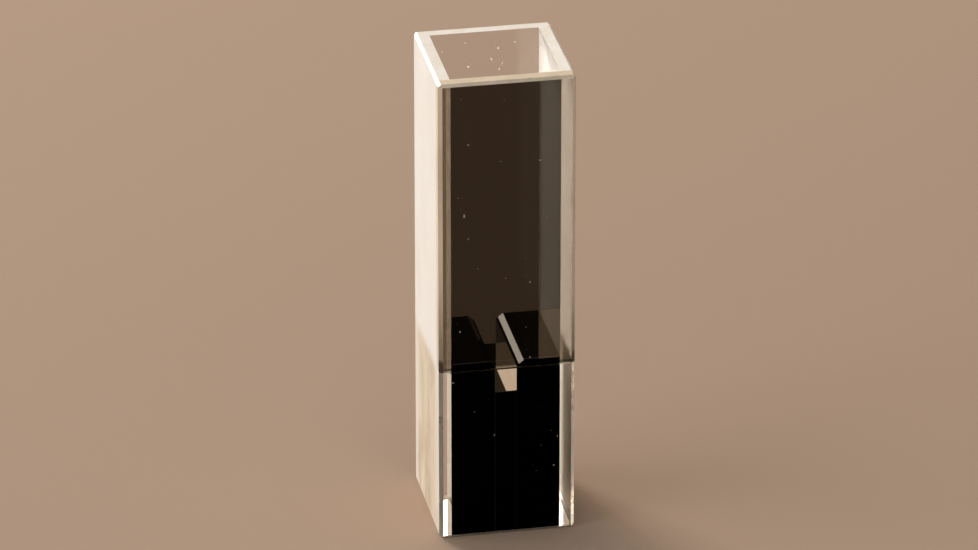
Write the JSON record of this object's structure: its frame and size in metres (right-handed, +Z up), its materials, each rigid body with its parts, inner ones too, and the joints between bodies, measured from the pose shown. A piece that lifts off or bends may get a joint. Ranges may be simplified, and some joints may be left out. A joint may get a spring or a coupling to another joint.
{
  "type": "cuvette",
  "caption": "Square sub-micro optical cell of fused glass plates, with an open mouth, ground side walls, a dark upper front and black inner blocks that leave a narrow sample slot.",
  "frame": {"origin": "middle of the base, on the surface that the cell stands on", "axes": "+Z up through the mouth; the front, with the dark panel over the clear window, faces -Y"},
  "size_m": [0.0126, 0.0126, 0.045],
  "materials": {
    "clear_glass": "clear, polished faces with ground edges",
    "ground_glass": "clear, outer face ground white, inner face polished",
    "dark_glass": "smoky, polished faces with ground edges",
    "black_glass": "black, polished"
  },
  "bodies": {
    "root": {"front_panel": "dark_glass", "front_window": "clear_glass", "rear_window": "clear_glass", "left_wall": "ground_glass", "right_wall": "ground_glass", "left_mask_block": "black_glass", "right_mask_block": "black_glass", "slot_floor_block": "black_glass"}
  },
  "joints": []
}
